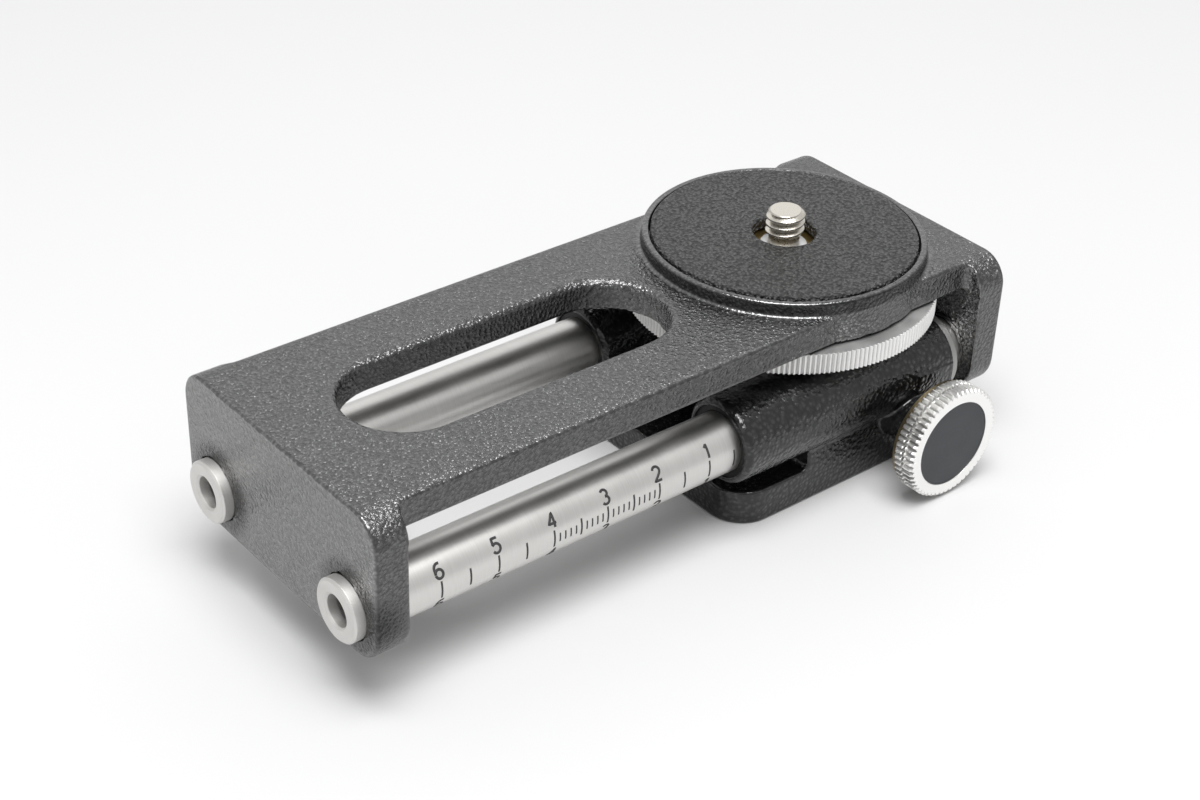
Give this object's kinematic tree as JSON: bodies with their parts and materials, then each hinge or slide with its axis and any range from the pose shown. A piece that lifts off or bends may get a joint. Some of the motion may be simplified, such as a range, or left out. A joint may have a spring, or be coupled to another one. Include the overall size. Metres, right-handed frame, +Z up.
{
  "type": "macro focusing rail",
  "caption": "Rack-driven camera slide: a slotted cast frame with a screw platform runs on two rods through a tripod carriage.",
  "frame": {"origin": "centre of the tripod socket's mouth in the underside of the foot", "axes": "+X along the rods towards the platform end, -Y towards the focusing knob, +Z up"},
  "size_m": [0.1274, 0.0692, 0.0411],
  "materials": {
    "black_casting": "black hammertone paint",
    "satin_steel": "satin ground",
    "bush_steel": "grey turned",
    "nickel_steel": "nickel plated",
    "bright_aluminium": "turned and knurled",
    "brass": "turned",
    "grey_disc": "grey anodised",
    "black_leather": "fine grain",
    "black_fibre": "plain"
  },
  "bodies": {
    "carriage": {"carriage": "black_casting", "near_front_bush": "bush_steel", "near_rear_bush": "bush_steel", "far_front_bush": "bush_steel", "far_rear_bush": "bush_steel", "tripod_insert": "bright_aluminium", "shaft_bush": "brass"},
    "frame": {"top_frame": "black_casting", "near_rod": "satin_steel", "far_rod": "satin_steel", "rod_set_screws": "bush_steel", "platform_pad": "black_leather", "wheel_washer": "black_fibre"},
    "camera_wheel": {"camera_wheel": "bright_aluminium", "camera_screw": "nickel_steel", "keeper_ring": "brass"},
    "knob": {"pinion_shaft": "satin_steel", "focus_knob": "bright_aluminium", "knob_washer": "brass", "knob_screw": "bush_steel", "emblem_disc": "grey_disc"},
    "lock_tip": {"lock_tip": "brass"},
    "lock_screw": {"lock_screw": "bright_aluminium"}
  },
  "joints": [
    {"name": "frame_slide", "type": "slide", "parent": "carriage", "child": "frame", "axis": [1, 0, 0], "range_m": [-0.002, 0.063]},
    {"name": "wheel_turn", "type": "hinge", "parent": "frame", "child": "camera_wheel", "pos_m": [0.0046, 0, 0.0275], "axis": [0, 0, 1], "continuous": true},
    {"name": "pinion_turn", "type": "hinge", "parent": "carriage", "child": "knob", "pos_m": [0.0133, -0.0175, 0.01025], "axis": [0, 1, 0], "range_deg": [-58, 1806]},
    {"name": "lock_slide", "type": "slide", "parent": "carriage", "child": "lock_tip", "axis": [0, -1, 0], "range_m": [0, 0.000248]},
    {"name": "lock_turn", "type": "hinge", "parent": "lock_tip", "child": "lock_screw", "pos_m": [-0.01, 0.028, 0.0166], "axis": [0, -1, 0], "range_deg": [0, 112]}
  ],
  "couplings": [
    {"joint": "pinion_turn", "follows": "frame_slide", "rad_per_m": 500},
    {"joint": "lock_turn", "follows": "lock_slide", "rad_per_m": 7854}
  ]
}
